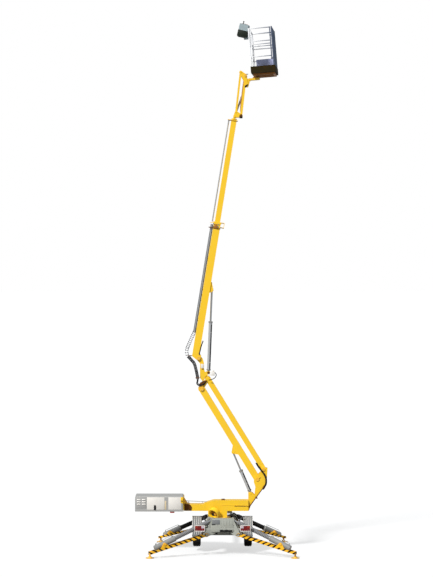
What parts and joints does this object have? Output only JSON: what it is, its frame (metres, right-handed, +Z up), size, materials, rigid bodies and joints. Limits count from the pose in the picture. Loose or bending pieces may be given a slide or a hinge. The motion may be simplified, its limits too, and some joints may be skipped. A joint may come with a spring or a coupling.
{
  "type": "towable articulating boom lift",
  "caption": "Towable articulating boom lift on outriggers, with a slewing power box, a parallel lower arm, a telescopic boom, a jib and a railed platform.",
  "frame": {"origin": "on the ground under the slewing axis", "axes": "+Z up, +Y forward towards the tow coupling; the arm, boom and jib stand in the plane y = 0"},
  "size_m": [4.114, 4.8934, 13.3663],
  "materials": {
    "yellow_paint": "gloss",
    "hazard_paint": "gloss",
    "foot_paint": "gloss",
    "ram_paint": "satin",
    "chromed_rod": "polished",
    "chassis_paint": "satin",
    "guard_plastic": "matte",
    "zinc_steel": "satin",
    "motor_paint": "satin",
    "lamp_red": "gloss",
    "black_rubber": "matte",
    "tyre_rubber": "matte",
    "rim_steel": "satin",
    "box_paint": "satin",
    "black_plastic": "matte",
    "aluminium": "brushed",
    "dark_tray": "matte",
    "console_plastic": "matte"
  },
  "bodies": {
    "chassis": {"chassis_frame": "chassis_paint", "slew_bearing": "zinc_steel", "axle_beam": "chassis_paint", "mudguards": "guard_plastic", "tail_lamps": "lamp_red", "drawbar": "chassis_paint", "tow_coupling": "zinc_steel", "jockey_leg": "zinc_steel", "control_valves": "motor_paint"},
    "jockey_fork": {"jockey_fork": "zinc_steel"},
    "jockey_wheel": {"jockey_wheel": "black_rubber"},
    "wheel_left": {"rim_left": "rim_steel", "tyre_left": "tyre_rubber"},
    "wheel_right": {"rim_right": "rim_steel", "tyre_right": "tyre_rubber"},
    "turret": {"turret_beam": "yellow_paint", "arm_tower": "yellow_paint", "slew_drive": "motor_paint", "power_box": "box_paint", "battery_pack": "black_plastic"},
    "power_box_hood": {"power_box_hood": "box_paint"},
    "lower_arm": {"lower_arm": "yellow_paint"},
    "lower_link": {"lower_link": "yellow_paint"},
    "lift_ram_barrel": {"lift_ram_barrel": "ram_paint"},
    "lift_ram_rod": {"lift_ram_rod": "chromed_rod"},
    "knuckle": {"knuckle": "yellow_paint"},
    "boom_outer": {"boom_outer": "yellow_paint", "chain_tray": "aluminium"},
    "boom_ram_barrel": {"boom_ram_barrel": "ram_paint"},
    "boom_ram_rod": {"boom_ram_rod": "chromed_rod"},
    "boom_inner": {"boom_inner": "yellow_paint", "carrier_tube": "aluminium"},
    "jib_head": {"jib_head": "yellow_paint"},
    "jib_arm": {"jib_arm": "yellow_paint"},
    "jib_link": {"jib_link": "yellow_paint"},
    "jib_ram_barrel": {"jib_ram_barrel": "ram_paint"},
    "jib_ram_rod": {"jib_ram_rod": "chromed_rod"},
    "basket_bracket": {"basket_bracket": "yellow_paint"},
    "basket": {"basket_support": "yellow_paint", "basket_tray": "dark_tray", "basket_rails": "aluminium", "control_console": "console_plastic"},
    "basket_gate": {"basket_gate": "aluminium"},
    "leg_front_left": {"leg_front_left": "hazard_paint", "foot_front_left": "foot_paint"},
    "ram_barrel_front_left": {"ram_barrel_front_left": "ram_paint"},
    "ram_rod_front_left": {"ram_rod_front_left": "chromed_rod"},
    "leg_front_right": {"leg_front_right": "hazard_paint", "foot_front_right": "foot_paint"},
    "ram_barrel_front_right": {"ram_barrel_front_right": "ram_paint"},
    "ram_rod_front_right": {"ram_rod_front_right": "chromed_rod"},
    "leg_rear_left": {"leg_rear_left": "hazard_paint", "foot_rear_left": "foot_paint"},
    "ram_barrel_rear_left": {"ram_barrel_rear_left": "ram_paint"},
    "ram_rod_rear_left": {"ram_rod_rear_left": "chromed_rod"},
    "leg_rear_right": {"leg_rear_right": "hazard_paint", "foot_rear_right": "foot_paint"},
    "ram_barrel_rear_right": {"ram_barrel_rear_right": "ram_paint"},
    "ram_rod_rear_right": {"ram_rod_rear_right": "chromed_rod"}
  },
  "joints": [
    {"name": "turret_slew", "type": "hinge", "parent": "chassis", "child": "turret", "pos_m": [0, 0, 0.83], "axis": [0, 0, 1], "continuous": true},
    {"name": "arm_lift", "type": "hinge", "parent": "turret", "child": "lower_arm", "pos_m": [0.887, 0, 1.815], "axis": [0, -1, 0], "range_deg": [0, 56]},
    {"name": "link_swing", "type": "hinge", "parent": "turret", "child": "lower_link", "pos_m": [1.047, 0, 2.065], "axis": [0, -1, 0], "range_deg": [0, 56]},
    {"name": "knuckle_level", "type": "hinge", "parent": "lower_arm", "child": "knuckle", "pos_m": [-0.52776, 0, 4.11466], "axis": [0, -1, 0], "range_deg": [-56, 0]},
    {"name": "lift_ram_swing", "type": "hinge", "parent": "turret", "child": "lift_ram_barrel", "pos_m": [0.716, 0, 1.458], "axis": [0, -1, 0], "range_deg": [0, 49.73]},
    {"name": "lift_ram_stroke", "type": "slide", "parent": "lift_ram_barrel", "child": "lift_ram_rod", "axis": [-0.3956, 0, 0.9184], "range_m": [-0.35747, 0]},
    {"name": "boom_lift", "type": "hinge", "parent": "knuckle", "child": "boom_outer", "pos_m": [-0.60676, 0, 4.88866], "axis": [0, 1, 0], "range_deg": [0, 80]},
    {"name": "boom_ram_swing", "type": "hinge", "parent": "knuckle", "child": "boom_ram_barrel", "pos_m": [-0.35276, 0, 4.51966], "axis": [0, 1, 0], "range_deg": [0, 75.15]},
    {"name": "boom_ram_stroke", "type": "slide", "parent": "boom_ram_barrel", "child": "boom_ram_rod", "axis": [0.0411, 0, 0.9992], "range_m": [-0.55546, 0]},
    {"name": "telescope", "type": "slide", "parent": "boom_outer", "child": "boom_inner", "axis": [-0.1611, 0, -0.9869], "range_m": [0, 2.58]},
    {"name": "head_level", "type": "hinge", "parent": "boom_inner", "child": "jib_head", "pos_m": [0.31105, 0, 11.0209], "axis": [0, 1, 0], "range_deg": [-80, 0]},
    {"name": "jib_lift", "type": "hinge", "parent": "jib_head", "child": "jib_arm", "pos_m": [0.47293, 0, 11.03501], "axis": [0, 1, 0], "range_deg": [0, 85]},
    {"name": "jib_link_swing", "type": "hinge", "parent": "jib_head", "child": "jib_link", "pos_m": [0.34621, 0, 11.12459], "axis": [0, 1, 0], "range_deg": [0, 85]},
    {"name": "jib_ram_swing", "type": "hinge", "parent": "jib_head", "child": "jib_ram_barrel", "pos_m": [0.34621, 0, 11.12459], "axis": [0, 1, 0], "range_deg": [0, 77.44]},
    {"name": "jib_ram_stroke", "type": "slide", "parent": "jib_ram_barrel", "child": "jib_ram_rod", "axis": [0.3536, 0, 0.9354], "range_m": [0, 0.19183]},
    {"name": "bracket_level", "type": "hinge", "parent": "jib_arm", "child": "basket_bracket", "pos_m": [0.5884, 0, 12.04845], "axis": [0, 1, 0], "range_deg": [-85, 0]},
    {"name": "basket_turn", "type": "hinge", "parent": "basket_bracket", "child": "basket", "pos_m": [0.8604, 0, 11.99145], "axis": [-0.0785, 0, 0.9969], "range_deg": [-40, 50]},
    {"name": "gate_swing", "type": "hinge", "parent": "basket", "child": "basket_gate", "pos_m": [1.23616, -0.66382, 12.42226], "axis": [0.0785, 0, -0.9969], "range_deg": [0, 85]},
    {"name": "leg_front_left_fold", "type": "hinge", "parent": "chassis", "child": "leg_front_left", "pos_m": [-0.42, 0.68, 0.52], "axis": [0.5736, 0.8192, 0], "range_deg": [0, 95]},
    {"name": "ram_front_left_swing", "type": "hinge", "parent": "leg_front_left", "child": "ram_barrel_front_left", "pos_m": [-1.31451, 1.30635, 0.295], "axis": [0.5736, 0.8192, 0], "range_deg": [-3.91, 0]},
    {"name": "ram_front_left_stroke", "type": "slide", "parent": "ram_barrel_front_left", "child": "ram_rod_front_left", "axis": [0.7517, -0.5264, 0.3973], "range_m": [-0.55673, 0]},
    {"name": "leg_front_right_fold", "type": "hinge", "parent": "chassis", "child": "leg_front_right", "pos_m": [0.42, 0.68, 0.52], "axis": [0.5736, -0.8192, 0], "range_deg": [0, 95]},
    {"name": "ram_front_right_swing", "type": "hinge", "parent": "leg_front_right", "child": "ram_barrel_front_right", "pos_m": [1.31451, 1.30635, 0.295], "axis": [0.5736, -0.8192, 0], "range_deg": [-3.91, 0]},
    {"name": "ram_front_right_stroke", "type": "slide", "parent": "ram_barrel_front_right", "child": "ram_rod_front_right", "axis": [-0.7517, -0.5264, 0.3973], "range_m": [-0.55673, 0]},
    {"name": "leg_rear_left_fold", "type": "hinge", "parent": "chassis", "child": "leg_rear_left", "pos_m": [-0.42, -0.95, 0.52], "axis": [-0.309, 0.9511, 0], "range_deg": [0, 95]},
    {"name": "ram_rear_left_swing", "type": "hinge", "parent": "leg_rear_left", "child": "ram_barrel_rear_left", "pos_m": [-1.45855, -1.28745, 0.34], "axis": [-0.309, 0.9511, 0], "range_deg": [-2.22, 0]},
    {"name": "ram_rear_left_stroke", "type": "slide", "parent": "ram_barrel_rear_left", "child": "ram_rod_rear_left", "axis": [0.8728, 0.2836, 0.3973], "range_m": [-0.61867, 0]},
    {"name": "leg_rear_right_fold", "type": "hinge", "parent": "chassis", "child": "leg_rear_right", "pos_m": [0.42, -0.95, 0.52], "axis": [-0.309, -0.9511, 0], "range_deg": [0, 95]},
    {"name": "ram_rear_right_swing", "type": "hinge", "parent": "leg_rear_right", "child": "ram_barrel_rear_right", "pos_m": [1.45855, -1.28745, 0.34], "axis": [-0.309, -0.9511, 0], "range_deg": [-2.22, 0]},
    {"name": "ram_rear_right_stroke", "type": "slide", "parent": "ram_barrel_rear_right", "child": "ram_rod_rear_right", "axis": [-0.8728, 0.2836, 0.3973], "range_m": [-0.61867, 0]},
    {"name": "wheel_left_spin", "type": "hinge", "parent": "chassis", "child": "wheel_left", "pos_m": [-0.65, 0, 0.425], "axis": [1, 0, 0], "continuous": true},
    {"name": "wheel_right_spin", "type": "hinge", "parent": "chassis", "child": "wheel_right", "pos_m": [0.65, 0, 0.425], "axis": [1, 0, 0], "continuous": true},
    {"name": "jockey_swivel", "type": "hinge", "parent": "chassis", "child": "jockey_fork", "pos_m": [0.11, 2.85, 0.35], "axis": [0, 0, 1], "continuous": true},
    {"name": "jockey_spin", "type": "hinge", "parent": "jockey_fork", "child": "jockey_wheel", "pos_m": [0.11, 2.85, 0.18], "axis": [1, 0, 0], "continuous": true},
    {"name": "hood_lift", "type": "hinge", "parent": "turret", "child": "power_box_hood", "pos_m": [-1.597, 0.362, 1.083], "axis": [-1, 0, 0], "range_deg": [0, 70]}
  ],
  "couplings": [
    {"joint": "link_swing", "follows": "arm_lift", "ratio": 1},
    {"joint": "knuckle_level", "follows": "arm_lift", "ratio": -1},
    {"joint": "lift_ram_swing", "follows": "arm_lift", "ratio": 0.88779},
    {"joint": "lift_ram_stroke", "follows": "arm_lift", "m_per_rad": -0.36564},
    {"joint": "boom_ram_swing", "follows": "boom_lift", "ratio": 0.93925},
    {"joint": "boom_ram_stroke", "follows": "boom_lift", "m_per_rad": -0.39775},
    {"joint": "head_level", "follows": "boom_lift", "ratio": -1},
    {"joint": "jib_link_swing", "follows": "jib_lift", "ratio": 1},
    {"joint": "jib_ram_swing", "follows": "jib_lift", "ratio": 0.91094},
    {"joint": "jib_ram_stroke", "follows": "jib_lift", "m_per_rad": 0.12924},
    {"joint": "bracket_level", "follows": "jib_lift", "ratio": -1},
    {"joint": "ram_front_left_swing", "follows": "leg_front_left_fold", "ratio": -0.041036},
    {"joint": "ram_front_left_stroke", "follows": "leg_front_left_fold", "m_per_rad": -0.33571},
    {"joint": "ram_front_right_swing", "follows": "leg_front_right_fold", "ratio": -0.041036},
    {"joint": "ram_front_right_stroke", "follows": "leg_front_right_fold", "m_per_rad": -0.33571},
    {"joint": "ram_rear_left_swing", "follows": "leg_rear_left_fold", "ratio": -0.023287},
    {"joint": "ram_rear_left_stroke", "follows": "leg_rear_left_fold", "m_per_rad": -0.37307},
    {"joint": "ram_rear_right_swing", "follows": "leg_rear_right_fold", "ratio": -0.023287},
    {"joint": "ram_rear_right_stroke", "follows": "leg_rear_right_fold", "m_per_rad": -0.37307}
  ]
}
